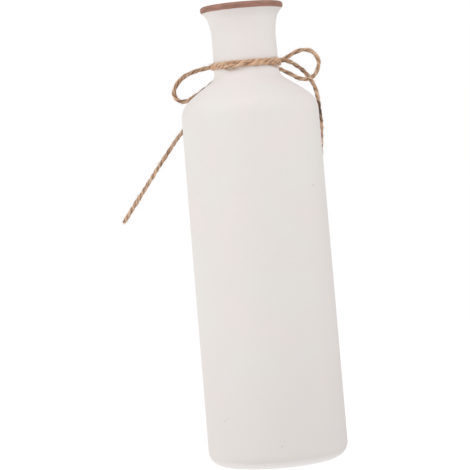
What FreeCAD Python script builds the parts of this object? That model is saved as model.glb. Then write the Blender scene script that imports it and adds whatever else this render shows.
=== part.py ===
import FreeCAD, Part
import math
import os

import Sketcher

# A slip-cast bottle vase with a bow of jute twine tied round its neck. Millimetres, +Z up, the origin at the
# centre of the foot. The bow is tied behind the neck, on the +Y side.

Vector = FreeCAD.Vector

# Driving sizes. Heights are measured up the vase from one corner of its outline to the next, where the corners
# are those that the outline would have without its rounds.
SIZES = {
    # The foot: a shallow recess inside a ring, whose width runs out to the round up into the wall
    "foot_recess": 1.2,
    "foot_ring_width": 4.1,
    "foot_edge_round": 0.6,
    "base_radius": 39.8,
    "base_round": 8.5,
    # The wall and the shoulder, which bends once at its crest
    "shoulder_radius": 38.95,
    "shoulder_height": 203.7,
    "shoulder_round": 13.0,
    "crest_inset": 8.85,
    "crest_rise": 7.2,
    "crest_round": 30.0,
    # The neck, a little slimmer at its top, and its flare
    "neck_radius": 18.05,
    "neck_taper": 0.45,
    "neck_foot_rise": 8.0,
    "neck_foot_round": 5.8,
    "neck_length": 26.6,
    "flare_spread": 2.05,
    "flare_rise": 8.7,
    # The lip
    "lip_overhang": 3.35,
    "lip_rise": 2.8,
    "lip_height": 3.0,
    "lip_under_round": 0.9,
    "lip_outer_round": 1.3,
    "lip_inner_round": 1.2,
    "lip_land": 2.3,
    # The cast wall and the floor
    "wall": 3.3,
    "floor_thickness": 4.2,
    # The twine and its winding, which is higher at the back by its tilt and on the right by its lean
    "twine_diameter": 2.1,
    "twine_gap": 0.3,
    "winding_gap": 0.5,
    "winding_rise": 7.2,
    "winding_tilt": 0.2,
    "winding_lean": 0.3,
    # The knot, and the rows in which the winding's ends leave it
    "knot_width": 6.4,
    "knot_depth": 5.2,
    "knot_height": 7.2,
    "knot_round": 1.2,
    "knot_lift": 1.1,
    "knot_row_depth": 1.35,
    "knot_row_rise": 2.2,
}

# The rounds at the neck's top and in the flare, as shares of the flare's rise
NECK_ROUND_SHARE = 5.0575
FLARE_ROUND_SHARE = 1.0345

# Where the inner outline's corners lie, as shares of the wall in from and below or above the outer ones
CREST_INSET_SHARE = 0.6
CREST_DROP_SHARE = 0.8
SHOULDER_DROP_SHARE = 0.48
NECK_FOOT_DROP_SHARE = 0.53
FLARE_INSET_SHARE = 0.89
FLARE_LIFT_SHARE = 0.56

# Turns of the winding, the arcs that make one turn, and the share of a turn in which each end lifts off the
# neck to the knot
WINDING_TURNS = 2
ARCS_IN_A_TURN = 4
WINDING_LEAD_SHARE = 0.155

# Routes of the free stretches, from the centre of the knot towards +X, +Y and +Z
LEFT_LOOP = [
    (-8.2, 1.35, 1.5),
    (-17.5, 1.6, 0.9),
    (-26.5, 0.4, -0.5),
    (-34.4, -0.4, -2.1),
    (-40.3, -0.9, -6.0),
    (-43.2, -1.1, -11.9),
    (-42.2, -1.1, -16.7),
    (-38.2, -0.9, -18.6),
    (-33.5, -0.5, -17.8),
    (-27.6, 0.2, -14.7),
    (-20.8, 1.0, -10.6),
    (-14.6, 1.5, -5.9),
    (-8.6, 1.35, -2.2),
]
RIGHT_LOOP = [
    (8.4, 1.35, 1.4),
    (15.6, 2.0, 0.2),
    (23.0, 1.8, 1.9),
    (29.6, 1.4, 5.6),
    (36.0, 1.0, 6.5),
    (40.3, 0.8, 3.6),
    (42.6, 0.7, -2.0),
    (41.0, 0.8, -7.6),
    (37.0, 1.1, -11.3),
    (31.0, 1.5, -11.4),
    (24.6, 1.9, -6.8),
    (17.0, 1.8, -2.8),
    (8.6, 1.35, -2.2),
]
LEFT_TAIL = [
    (-1.4, 0.2, -8.2),
    (-5.4, 3.6, -12.6),
    (-12.6, 7.4, -16.1),
    (-21.6, 8.2, -20.6),
    (-30.6, 4.8, -27.1),
    (-40.6, 0.4, -34.9),
    (-55.4, -5.6, -54.8),
    (-68.0, -9.7, -72.2),
    (-77.1, -12.6, -84.3),
]
RIGHT_TAIL = [
    (9.4, -1.35, 0.4),
    (16.5, -2.8, 0.9),
    (24.0, -5.0, 0.4),
    (30.2, -7.2, -3.9),
    (35.2, -9.2, -9.7),
    (38.8, -11.6, -16.8),
    (40.0, -13.4, -26.0),
    (40.6, -14.2, -35.8),
    (39.8, -12.6, -45.4),
    (38.8, -10.2, -55.0),
    (37.4, -7.0, -64.0),
    (35.7, -3.2, -71.8),
    (34.2, 0.6, -78.6),
    (33.0, 3.6, -83.6),
]

# A route's arc takes up this share of the shorter run beside it
ARC_RUN_SHARE = 0.45

# Least share of the winding's gap that it has to keep to itself, and the step at which it is measured
LEAST_GAP_SHARE = 0.8
GAP_STEPS_IN_A_TURN = 120

doc = FreeCAD.newDocument("bottle_vase")
dims = doc.addObject("Spreadsheet::Sheet", "dims")
for row, (alias, value) in enumerate(SIZES.items(), start=1):
    dims.set(f"A{row}", alias)
    dims.set(f"B{row}", str(value))
    dims.setAlias(f"B{row}", alias)
doc.recompute()


def size(expression):
    """What a sum of the sheet's sizes comes to."""
    return float(dims.evalExpression(expression))


def bound(expression):
    """The same sum, as another object of the document refers to it."""
    return " ".join(f"dims.{word}" if word in SIZES else word for word in expression.split())


def bind(sketch, constraint, expression):
    """Adds a constraint whose value follows the sheet."""
    name = f"size_{sketch.addConstraint(constraint)}"
    sketch.renameConstraint(sketch.ConstraintCount - 1, name)
    sketch.setExpression(f"Constraints.{name}", bound(expression))


def hold(sketch, kind, point, expression, axis):
    """Holds a point at its distance from the sketch's origin, or on the axis where that is zero."""
    if expression == "0":
        sketch.addConstraint(Sketcher.Constraint("PointOnObject", *point, axis))
    else:
        bind(sketch, Sketcher.Constraint(kind, -1, 1, *point, size(expression)), expression)


def corner_arc(start, corner, end):
    """The arc from start to end that is tangent to both legs of an even corner."""
    foot = (start + end) * 0.5
    half_chord = foot.distanceToPoint(start)
    half_turn = math.asin(foot.distanceToPoint(corner) / corner.distanceToPoint(start))
    sagitta = half_chord * math.tan(half_turn / 2)
    return Part.Arc(start, foot + (corner - foot).normalize() * sagitta, end)


def draw_outline(sketch, corners):
    """A closed outline, drawn and constrained from its corners, each (across, up, round or None)."""
    places = [Vector(size(across), size(up), 0) for across, up, _ in corners]
    starts = []
    ends = []
    for index, corner in enumerate(places):
        radius = size(corners[index][2] or "0")
        way_in = (corner - places[index - 1]).normalize()
        way_out = (places[(index + 1) % len(places)] - corner).normalize()
        reach = radius * math.tan(way_in.getAngle(way_out) / 2)
        starts.append(corner - way_in * reach)
        ends.append(corner + way_out * reach)
    lines = [
        sketch.addGeometry(Part.LineSegment(ends[index - 1], start), False)
        for index, start in enumerate(starts)
    ]
    for index, (across, up, radius) in enumerate(corners):
        line_in = lines[index]
        line_out = lines[(index + 1) % len(lines)]
        point = (line_out, 1)
        if radius:
            arc = sketch.addGeometry(corner_arc(starts[index], places[index], ends[index]), False)
            # A sketch's arcs run anticlockwise, so a clockwise round begins at its second end
            drawn = sketch.getPoint(arc, 1)
            clockwise = drawn.distanceToPoint(starts[index]) > drawn.distanceToPoint(ends[index])
            first, last = (2, 1) if clockwise else (1, 2)
            sketch.addConstraint(Sketcher.Constraint("Tangent", line_in, 2, arc, first))
            sketch.addConstraint(Sketcher.Constraint("Tangent", arc, last, line_out, 1))
            bind(sketch, Sketcher.Constraint("Radius", arc, size(radius)), radius)
            point = (sketch.addGeometry(Part.Point(places[index]), True), 1)
            sketch.addConstraint(Sketcher.Constraint("PointOnObject", *point, line_in))
            sketch.addConstraint(Sketcher.Constraint("PointOnObject", *point, line_out))
        else:
            sketch.addConstraint(Sketcher.Constraint("Coincident", line_in, 2, line_out, 1))
        hold(sketch, "DistanceX", point, across, -2)
        hold(sketch, "DistanceY", point, up, -1)


def new_sketch(body, name, role):
    """A sketch on one of its body's own origin planes."""
    sketch = body.newObject("Sketcher::SketchObject", name)
    plane = next(item for item in body.Origin.OriginFeatures if item.Role == role)
    sketch.AttachmentSupport = (plane, [""])
    sketch.MapMode = "FlatFace"
    sketch.Visibility = False
    return sketch


def new_body(name):
    """A body under its node's name."""
    body = doc.addObject("PartDesign::Body", name)
    body.Label = name
    return body


# Heights up the outside of the vase, and where the lip and the foot's ring end
CREST_HEIGHT = "shoulder_height + crest_rise"
NECK_FOOT_HEIGHT = f"{CREST_HEIGHT} + neck_foot_rise"
NECK_TOP_HEIGHT = f"{NECK_FOOT_HEIGHT} + neck_length"
FLARE_HEIGHT = f"{NECK_TOP_HEIGHT} + flare_rise"
LIP_UNDER_HEIGHT = f"{FLARE_HEIGHT} + lip_rise"
OVERALL_HEIGHT = f"{LIP_UNDER_HEIGHT} + lip_height"
LIP_RADIUS = "neck_radius + flare_spread + lip_overhang"
NECK_ROUND = f"flare_rise * {NECK_ROUND_SHARE}"
FLARE_ROUND = f"flare_rise * {FLARE_ROUND_SHARE}"
FOOT_RING_RADIUS = "base_radius - base_round - foot_ring_width"
FLOOR_HEIGHT = "foot_recess + floor_thickness"

# The outline of the cast clay: up the outside from the middle of the foot, then over the lip and down inside
OUTSIDE = [
    ("0", "foot_recess", None),
    (f"{FOOT_RING_RADIUS} - foot_recess", "foot_recess", "foot_edge_round"),
    (FOOT_RING_RADIUS, "0", "foot_edge_round"),
    ("base_radius", "0", "base_round"),
    ("shoulder_radius", "shoulder_height", "shoulder_round"),
    ("shoulder_radius - crest_inset", CREST_HEIGHT, "crest_round"),
    ("neck_radius + neck_taper", NECK_FOOT_HEIGHT, "neck_foot_round"),
    ("neck_radius", NECK_TOP_HEIGHT, NECK_ROUND),
    ("neck_radius + flare_spread", FLARE_HEIGHT, FLARE_ROUND),
    (LIP_RADIUS, LIP_UNDER_HEIGHT, "lip_under_round"),
    (LIP_RADIUS, OVERALL_HEIGHT, "lip_outer_round"),
]
INSIDE = [
    (f"{LIP_RADIUS} - lip_land", OVERALL_HEIGHT, "lip_inner_round"),
    (
        f"neck_radius + flare_spread - wall * {FLARE_INSET_SHARE}",
        f"{FLARE_HEIGHT} + wall * {FLARE_LIFT_SHARE}",
        f"{FLARE_ROUND} + wall",
    ),
    ("neck_radius - wall", NECK_TOP_HEIGHT, f"{NECK_ROUND} + wall"),
    (
        "neck_radius + neck_taper - wall",
        f"{NECK_FOOT_HEIGHT} - wall * {NECK_FOOT_DROP_SHARE}",
        "neck_foot_round + wall",
    ),
    (
        f"shoulder_radius - crest_inset - wall * {CREST_INSET_SHARE}",
        f"{CREST_HEIGHT} - wall * {CREST_DROP_SHARE}",
        "crest_round - wall",
    ),
    (
        "shoulder_radius - wall",
        f"shoulder_height - wall * {SHOULDER_DROP_SHARE}",
        "shoulder_round - wall",
    ),
    ("base_radius - wall", FLOOR_HEIGHT, "base_round - wall"),
    ("0", FLOOR_HEIGHT, None),
]

vase_body = new_body("vase_body")
vase_outline = new_sketch(vase_body, "vase_outline", "XZ_Plane")
draw_outline(vase_outline, OUTSIDE + INSIDE)
vase_turned = vase_body.newObject("PartDesign::Revolution", "vase_turned")
vase_turned.Profile = vase_outline
vase_turned.ReferenceAxis = (vase_outline, ["V_Axis"])
vase_turned.Angle = 360

# The winding lies on the neck, and the knot on the pass that the winding makes behind the neck
WINDING_RADIUS = "neck_radius + neck_taper + twine_gap + twine_diameter / 2"
WINDING_HEIGHT = f"{NECK_FOOT_HEIGHT} + winding_rise"
WINDING_PITCH = "twine_diameter + winding_gap"
KNOT_BACK = f"{WINDING_RADIUS} + twine_diameter / 2 + twine_gap + knot_depth / 2"
KNOT_HEIGHT = f"{WINDING_HEIGHT} + knot_lift"

bow_knot = new_body("bow_knot")
bow_knot.setExpression("Placement.Base.y", bound(KNOT_BACK))
bow_knot.setExpression("Placement.Base.z", bound(KNOT_HEIGHT))
knot_section = new_sketch(bow_knot, "knot_section", "YZ_Plane")
draw_outline(
    knot_section,
    [
        (f"knot_depth * {across} / 2", f"knot_height * {up} / 2", "knot_round")
        for across, up in [(-1, -1), (1, -1), (1, 1), (-1, 1)]
    ],
)
knot_pad = bow_knot.newObject("PartDesign::Pad", "knot_pad")
knot_pad.Profile = knot_section
knot_pad.setExpression("Length", bound("knot_width"))
knot_pad.Midplane = True

twine_diameter = size("twine_diameter")
winding_radius = size(WINDING_RADIUS)
winding_height = size(WINDING_HEIGHT)
winding_pitch = size(WINDING_PITCH)
winding_tilt = size("winding_tilt")
winding_lean = size("winding_lean")
knot_centre = Vector(0, size(KNOT_BACK), size(KNOT_HEIGHT))
knot_side = Vector(size("knot_width") / 2, 0, 0)
knot_under = Vector(0, 0, -size("knot_height") / 2)


def route_edges(name, points):
    """Straight runs joined by tangent arcs, each as large as the two runs beside it allow."""
    edges = []
    radii = []
    start = points[0]
    for before, corner, after in zip(points, points[1:], points[2:]):
        way_in = (corner - before).normalize()
        way_out = (after - corner).normalize()
        reach = ARC_RUN_SHARE * min(corner.distanceToPoint(before), corner.distanceToPoint(after))
        arc_start = corner - way_in * reach
        arc_end = corner + way_out * reach
        edges.append(Part.LineSegment(start, arc_start).toShape())
        edges.append(corner_arc(arc_start, corner, arc_end).toShape())
        radii.append(reach / math.tan(way_in.getAngle(way_out) / 2))
        start = arc_end
    edges.append(Part.LineSegment(start, points[-1]).toShape())
    print(f"{name}: arc radii", " ".join(f"{radius:.1f}" for radius in radii))
    print(f"{name}: tightest arc {min(radii) / twine_diameter:.1f} diameters")
    return edges


def biarc_edges(start, way_start, end, way_end):
    """Two arcs that join two points along the ways given there."""
    chord = end - start
    along = chord.dot(way_start + way_end)
    spread = 2 * (1 - way_start.dot(way_end))
    reach = (math.sqrt(along**2 + spread * chord.dot(chord)) - along) / spread
    corner_start = start + way_start * reach
    corner_end = end - way_end * reach
    joint = (corner_start + corner_end) * 0.5
    return [
        corner_arc(start, corner_start, joint).toShape(),
        corner_arc(joint, corner_end, end).toShape(),
    ]


def winding_place(turns):
    """Where the winding's centreline is after so many turns from the back of the neck, and its way there."""
    angle = 2 * math.pi * turns
    round_it = Vector(math.sin(angle), math.cos(angle), 0)
    along_it = Vector(math.cos(angle), -math.sin(angle), 0)
    slant = winding_tilt * math.cos(angle) + winding_lean * math.sin(angle)
    slant_rate = winding_lean * math.cos(angle) - winding_tilt * math.sin(angle)
    climb = slant + winding_pitch * (turns - WINDING_TURNS / 2)
    climb_rate = slant_rate + winding_pitch / (2 * math.pi)
    point = round_it * winding_radius + Vector(0, 0, winding_height + climb)
    return point, (along_it * winding_radius + Vector(0, 0, climb_rate)).normalize()


def winding_edges():
    """From the knot's right side round the neck to its left side, as one unbroken line."""
    row_back = Vector(0, -size("knot_row_depth"), 0)
    row_up = Vector(0, 0, size("knot_row_rise"))
    right_face = knot_centre + knot_side + row_back - row_up
    left_face = knot_centre - knot_side + row_back + row_up
    across = Vector(1, 0, 0)
    straight = across * twine_diameter
    quarters = [count / ARCS_IN_A_TURN for count in range(1, WINDING_TURNS * ARCS_IN_A_TURN)]
    stops = [WINDING_LEAD_SHARE, *quarters, WINDING_TURNS - WINDING_LEAD_SHARE]
    places = [(right_face + straight, across)]
    places.extend(winding_place(stop) for stop in stops)
    places.append((left_face - straight, across))
    edges = [Part.LineSegment(right_face, right_face + straight).toShape()]
    for before, after in zip(places, places[1:]):
        edges.extend(biarc_edges(*before, *after))
    edges.append(Part.LineSegment(left_face - straight, left_face).toShape())
    return edges


def new_twine(name, edges):
    """One stretch of twine under its node's name: a circle swept along its edges."""
    line = doc.addObject("Part::Feature", f"{name}_line")
    line.Shape = Part.Wire(edges)
    line.Visibility = False
    ring = doc.addObject("Part::Circle", f"{name}_ring")
    ring.setExpression("Radius", bound("twine_diameter / 2"))
    first = edges[0]
    way = first.tangentAt(first.FirstParameter)
    facing = FreeCAD.Rotation(Vector(0, 0, 1), way)
    ring.Placement = FreeCAD.Placement(first.valueAt(first.FirstParameter), facing)
    ring.Visibility = False
    twine = doc.addObject("Part::Sweep", name)
    twine.Label = name
    twine.Sections = [ring]
    twine.Spine = (line, [f"Edge{number}" for number in range(1, len(edges) + 1)])
    twine.Solid = True
    twine.Frenet = False
    doc.recompute()
    length = line.Shape.Length
    share = twine.Shape.Volume / (math.pi * twine_diameter**2 / 4 * length)
    print(f"{name}: length {length:.1f} mm, volume {share:.4f} of its section times its length")
    return twine


def from_knot(points):
    """A route's points in the vase's frame."""
    return [knot_centre + Vector(*point) for point in points]


def square_to(face, point):
    """The place on a face of the knot that lies straight across from a point."""
    centre = knot_centre + face
    way = Vector(face).normalize()
    return point - way * (point - centre).dot(way)


left_loop = from_knot(LEFT_LOOP)
right_loop = from_knot(RIGHT_LOOP)
left_tail = from_knot(LEFT_TAIL)
right_tail = from_knot(RIGHT_TAIL)
ROUTES = {
    "bow_loop_left": [
        square_to(-knot_side, left_loop[0]),
        *left_loop,
        square_to(-knot_side, left_loop[-1]),
    ],
    "bow_loop_right": [
        square_to(knot_side, right_loop[0]),
        *right_loop,
        square_to(knot_side, right_loop[-1]),
    ],
    "tail_left": [square_to(knot_under, left_tail[0]), *left_tail],
    "tail_right": [square_to(knot_side, right_tail[0]), *right_tail],
}

wrap_edges = winding_edges()
pieces = [vase_body, bow_knot, new_twine("neck_wrap", wrap_edges)]
for name, points in ROUTES.items():
    pieces.append(new_twine(name, route_edges(name, points)))
doc.recompute()

# The winding's least gap to itself, over points at least half a turn apart
wrap_line = Part.Wire(wrap_edges)
wrap_points = wrap_line.discretize(Number=WINDING_TURNS * GAP_STEPS_IN_A_TURN)
least_gap = min(
    point.distanceToPoint(other) - twine_diameter
    for index, point in enumerate(wrap_points)
    for other in wrap_points[index + GAP_STEPS_IN_A_TURN // 2 :]
)
print(f"neck_wrap: least gap to itself {least_gap:.2f} mm")
if least_gap < size("winding_gap") * LEAST_GAP_SHARE:
    raise SystemExit("the winding's turns are too close")

for item in doc.Objects:
    if "Invalid" in item.State or "Error" in item.State:
        raise SystemExit(f"{item.Label} failed: {item.State}")
for piece in pieces:
    if piece.Shape.isNull() or not piece.Shape.isValid() or len(piece.Shape.Solids) != 1:
        raise SystemExit(f"{piece.Label} isn't one valid solid")

os.makedirs("parts", exist_ok=True)
for piece in pieces:
    piece.Shape.exportStep(f"parts/{piece.Label}.step")
    box = piece.Shape.optimalBoundingBox(True, False)
    print(
        f"{piece.Label}: volume {piece.Shape.Volume:.1f} mm3,",
        f"x {box.XMin:.1f} to {box.XMax:.1f}, y {box.YMin:.1f} to {box.YMax:.1f},",
        f"z {box.ZMin:.1f} to {box.ZMax:.1f}",
    )
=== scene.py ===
import math

import bpy
from mathutils import Matrix, Vector


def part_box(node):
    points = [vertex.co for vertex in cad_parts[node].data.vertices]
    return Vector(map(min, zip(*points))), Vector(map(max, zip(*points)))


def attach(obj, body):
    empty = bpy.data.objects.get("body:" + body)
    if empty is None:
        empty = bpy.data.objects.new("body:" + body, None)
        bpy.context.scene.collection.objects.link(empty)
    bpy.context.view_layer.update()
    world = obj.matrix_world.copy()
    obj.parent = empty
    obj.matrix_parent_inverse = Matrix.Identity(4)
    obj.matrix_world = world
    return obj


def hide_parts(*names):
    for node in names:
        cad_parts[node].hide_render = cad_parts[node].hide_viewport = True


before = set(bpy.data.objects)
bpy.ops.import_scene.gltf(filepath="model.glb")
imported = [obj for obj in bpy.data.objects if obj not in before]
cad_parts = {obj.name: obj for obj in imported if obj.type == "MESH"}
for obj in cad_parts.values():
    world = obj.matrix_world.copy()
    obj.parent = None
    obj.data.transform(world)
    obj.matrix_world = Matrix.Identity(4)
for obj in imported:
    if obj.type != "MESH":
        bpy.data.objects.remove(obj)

bpy.context.view_layer.update()
scene = bpy.context.scene
MM = 0.001

# The view. The vase is looked at from in front and a little below its mouth, through a long lens, and leans
# to the left in the picture because the camera is rolled.
CAMERA_DISTANCE = 1.1047
CAMERA_HEIGHT = 0.1642
CAMERA_PITCH = 0.0308
CAMERA_YAW = 0.013
CAMERA_ROLL = -0.0843
SENSOR = 36.0
FOCAL_LENGTH = 148.84

camera_data = bpy.data.cameras.new("camera")
camera_data.sensor_width = SENSOR
camera_data.lens = FOCAL_LENGTH
camera = bpy.data.objects.new("camera", camera_data)
scene.collection.objects.link(camera)
camera.matrix_world = (
    Matrix.Translation((0, -CAMERA_DISTANCE, CAMERA_HEIGHT))
    @ Matrix.Rotation(CAMERA_YAW, 4, "Z")
    @ Matrix.Rotation(math.pi / 2 - CAMERA_PITCH, 4, "X")
    @ Matrix.Rotation(CAMERA_ROLL, 4, "Z")
)
scene.camera = camera

# The twine's course. One length of jute is wound twice round the neck and tied behind it in a bow, so that
# every stretch of it begins or ends in the knot. The routes are counted from the knot's centre.
TWINE_DIAMETER = 2.1 * MM
LEFT_LOOP = [
    (-0.0005, 0.0003, 0.0006),
    (-0.0032, 0.0011, 0.0013),
    (-0.0082, 0.00135, 0.0015),
    (-0.0175, 0.0016, 0.0009),
    (-0.0265, 0.0004, -0.0005),
    (-0.0342, -0.0004, -0.0025),
    (-0.04, -0.0009, -0.0063),
    (-0.0432, -0.0011, -0.0119),
    (-0.0422, -0.0011, -0.0167),
    (-0.0382, -0.0009, -0.0186),
    (-0.0337, -0.0005, -0.0174),
    (-0.0276, 0.0002, -0.0136),
    (-0.0208, 0.001, -0.0093),
    (-0.0146, 0.0015, -0.0053),
    (-0.0086, 0.00135, -0.0022),
    (-0.0032, 0.0011, -0.0017),
    (-0.0005, 0.0003, -0.0008),
]
RIGHT_LOOP = [
    (0.0005, 0.0003, 0.0006),
    (0.0032, 0.0011, 0.0013),
    (0.0084, 0.00135, 0.0014),
    (0.0156, 0.002, 0.0002),
    (0.023, 0.0018, 0.0019),
    (0.0296, 0.0014, 0.0055),
    (0.0361, 0.001, 0.0062),
    (0.0403, 0.0008, 0.0036),
    (0.0426, 0.0007, -0.002),
    (0.0408, 0.0008, -0.0074),
    (0.037, 0.0011, -0.0111),
    (0.0308, 0.0015, -0.011),
    (0.0246, 0.0019, -0.0068),
    (0.017, 0.0018, -0.0028),
    (0.0086, 0.00135, -0.0022),
    (0.0032, 0.0011, -0.0017),
    (0.0005, 0.0003, -0.0008),
]
LEFT_TAIL = [
    (-0.0006, 0, -0.0012),
    (-0.0012, 0.0001, -0.0036),
    (-0.0014, 0.0002, -0.0082),
    (-0.0054, 0.0036, -0.0126),
    (-0.0126, 0.0074, -0.0161),
    (-0.0216, 0.0082, -0.0206),
    (-0.0306, 0.0048, -0.0271),
    (-0.0402, 0.0004, -0.0351),
    (-0.0554, -0.0056, -0.0548),
    (-0.068, -0.0097, -0.0722),
    (-0.0775, -0.0127, -0.0849),
]
RIGHT_TAIL = [
    (0.0006, -0.0004, 0.0002),
    (0.0032, -0.0011, 0.0004),
    (0.0094, -0.00135, 0.0004),
    (0.0165, -0.0028, 0.0009),
    (0.024, -0.005, 0.0004),
    (0.0302, -0.0072, -0.0039),
    (0.0352, -0.0092, -0.0097),
    (0.0387, -0.0116, -0.0168),
    (0.0397, -0.0132, -0.026),
    (0.0404, -0.0142, -0.0358),
    (0.0394, -0.0126, -0.0454),
    (0.0385, -0.0102, -0.055),
    (0.0371, -0.007, -0.064),
    (0.0355, -0.0032, -0.0718),
    (0.034, 0.0006, -0.0786),
    (0.0328, 0.0036, -0.0836),
]

# The winding lies two turns on the neck, one against the other, and lifts off it to the knot at both ends
WINDING_TURNS = 2
WINDING_POINTS_IN_A_TURN = 16
WINDING_LEAD_SHARE = 0.125
WINDING_PITCH = 1.6 * MM
WINDING_DROP = 1.1 * MM
WINDING_TILT = 0.2 * MM
WINDING_LEAN = 0.3 * MM
WINDING_TUCK = 0.65 * MM
KNOT_ROW_DEPTH = 0.9 * MM
KNOT_ROW_RISE = 1.6 * MM
KNOT_ROW_START_SHARE = 0.2
KNOT_ROW_RUN = 1.6 * TWINE_DIAMETER
ROUTE_RESOLUTION = 16

knot_low, knot_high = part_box("bow_knot")
knot_centre = (knot_low + knot_high) / 2
_, wrap_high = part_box("neck_wrap")
winding_radius = wrap_high.x - TWINE_DIAMETER / 2 - WINDING_TUCK
winding_height = knot_centre.z - WINDING_DROP


def winding_route():
    """The winding's points, from inside the knot round the neck and back into the knot's other side."""
    half_chord = math.pi / WINDING_POINTS_IN_A_TURN
    reach = winding_radius / math.cos(half_chord)
    steps = round((WINDING_TURNS - 2 * WINDING_LEAD_SHARE) * WINDING_POINTS_IN_A_TURN)
    points = []
    for step in range(steps + 1):
        turns = WINDING_LEAD_SHARE + step / WINDING_POINTS_IN_A_TURN
        angle = 2 * math.pi * turns
        climb = WINDING_TILT * math.cos(angle) + WINDING_LEAN * math.sin(angle)
        climb += WINDING_PITCH * (turns - WINDING_TURNS / 2)
        points.append(Vector((reach * math.sin(angle), reach * math.cos(angle), winding_height + climb)))
    row = Vector((knot_high.x - knot_centre.x, -KNOT_ROW_DEPTH, -KNOT_ROW_RISE))
    right_side = [knot_centre + row * KNOT_ROW_START_SHARE, knot_centre + row]
    right_side.append(right_side[-1] + Vector((KNOT_ROW_RUN, 0, 0)))
    half_turn = Matrix.Rotation(math.pi, 3, "Y")
    left_side = [knot_centre + half_turn @ (point - knot_centre) for point in right_side]
    return right_side + points + left_side[::-1]


def from_knot(points):
    """A route's points in the vase's frame."""
    return [knot_centre + Vector(point) for point in points]


def lay_lines(name, lines, resolution):
    """Smooth open lines through the air, each drawn in towards its control points."""
    curve = bpy.data.curves.new(name, "CURVE")
    curve.dimensions = "3D"
    curve.resolution_u = resolution
    for points in lines:
        line = curve.splines.new("NURBS")
        line.points.add(len(points) - 1)
        for spot, point in zip(line.points, points):
            spot.co = (*point, 1)
        line.order_u = 3
        line.use_endpoint_u = True
    laid = bpy.data.objects.new(name, curve)
    scene.collection.objects.link(laid)
    return laid


# The knot is two more turns of the twine round the strands that pass through it, side by side
KNOT_TURNS = 2
KNOT_POINTS_IN_A_TURN = 12
KNOT_HALF_DEPTH = 1.9 * MM
KNOT_HALF_HEIGHT = 2.75 * MM
KNOT_PITCH = 2.05 * MM
KNOT_TUCK_SHARE = 0.35


def knot_route():
    """The knot's turns round the X axis, which begin and end inside the knot."""
    steps = KNOT_TURNS * KNOT_POINTS_IN_A_TURN
    points = []
    for step in range(steps + 1):
        turns = step / KNOT_POINTS_IN_A_TURN
        angle = 2 * math.pi * turns - math.pi / 2
        width = KNOT_PITCH * (turns - KNOT_TURNS / 2)
        depth = KNOT_HALF_DEPTH * math.sin(angle)
        rise = KNOT_HALF_HEIGHT * math.cos(angle)
        points.append(knot_centre + Vector((width, depth, rise)))
    start, end = (
        knot_centre + (point - knot_centre) * KNOT_TUCK_SHARE for point in (points[0], points[-1])
    )
    return [start, *points, end]


ROUTES = {
    "neck_wrap": winding_route(),
    "bow_knot": knot_route(),
    "bow_loop_left": from_knot(LEFT_LOOP),
    "bow_loop_right": from_knot(RIGHT_LOOP),
    "tail_left": from_knot(LEFT_TAIL),
    "tail_right": from_knot(RIGHT_TAIL),
}

# The jute itself: two plies twisted round each other, each a bundle of coarse straw-coloured fibres that
# lie along the twine, swell and thin, and leave grooves where the plies meet, into which shade is painted.
PLIES = 2
PLY_RADIUS = 0.92 * MM
PLY_OFFSET = 0.3 * MM
LAY_LENGTH = 10.2 * MM
RING_STEP = 0.3 * MM
RING_SIDES = 18
LAY_DRIFT_SCALE = 60.0
SWELL_SCALE = 110.0
SWELL_SHARE = 0.65
PLY_LANE = 0.37
GRAIN_PER_METRE = 120.0
GRAIN_PER_LANE = 31.0
RIDGE_SCALE = 2.6
RIDGE_SHARE = 0.62
THIN_PLACE_PAINTED_SHADE = 0.8
STRAW_PALE = (0.81, 0.61, 0.435, 1)
STRAW_TAN = (0.59, 0.37, 0.245, 1)
STRAW_DARK = (0.17, 0.095, 0.065, 1)
STRAW_RUSTY = (1, 0.86, 0.76, 1)
STRAW_GREYED = (0.95, 0.97, 1, 1)
STRAW_LIT_THROUGH = (0.86, 0.66, 0.45, 1)


def feed(tree, node, feeds):
    """Fills a node's sockets, each named or numbered, with a value or with another node's output."""
    for key, value in feeds.items():
        socket = node.inputs[key]
        if isinstance(value, bpy.types.NodeSocket):
            tree.links.new(value, socket)
        else:
            socket.default_value = value


def add(tree, kind, feeds=None, **settings):
    """Adds a node and returns its first output in use."""
    node = tree.nodes.new(kind)
    for name, value in settings.items():
        setattr(node, name, value)
    feed(tree, node, feeds or {})
    return next((socket for socket in node.outputs if socket.enabled), None)


def sum_of(tree, operation, first, second=0.0, third=0.0):
    """One step of arithmetic on numbers."""
    return add(tree, "ShaderNodeMath", {0: first, 1: second, 2: third}, operation=operation)


def vector_sum(tree, operation, first, second):
    """One step of arithmetic on vectors."""
    return add(tree, "ShaderNodeVectorMath", {0: first, 1: second}, operation=operation)


def scaled(tree, vector, factor):
    """A vector times a number."""
    return add(tree, "ShaderNodeVectorMath", {"Vector": vector, "Scale": factor}, operation="SCALE")


def mapped(tree, value, from_min, from_max, to_min=0.0, to_max=1.0):
    """A number carried from one range to another and held at its ends."""
    feeds = {"Value": value, "From Min": from_min, "From Max": from_max, "To Min": to_min, "To Max": to_max}
    return add(tree, "ShaderNodeMapRange", feeds)


def mixed(tree, share, first, second, blend="MIX"):
    """One colour laid over another."""
    feeds = {0: share, 6: first, 7: second}
    return add(tree, "ShaderNodeMix", feeds, data_type="RGBA", blend_type=blend)


def moved(tree, geometry, offset):
    """Geometry with each point moved by an offset."""
    return add(tree, "GeometryNodeSetPosition", {"Geometry": geometry, "Offset": offset})


def new_tree(name, inputs):
    """An empty tree of Geometry Nodes with named inputs, and the outputs of its input node."""
    tree = bpy.data.node_groups.new(name, "GeometryNodeTree")
    tree.interface.new_socket("Geometry", in_out="INPUT", socket_type="NodeSocketGeometry")
    for label, kind in inputs.items():
        tree.interface.new_socket(label, in_out="INPUT", socket_type=f"NodeSocket{kind}")
    tree.interface.new_socket("Geometry", in_out="OUTPUT", socket_type="NodeSocketGeometry")
    return tree, tree.nodes.new("NodeGroupInput").outputs


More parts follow.
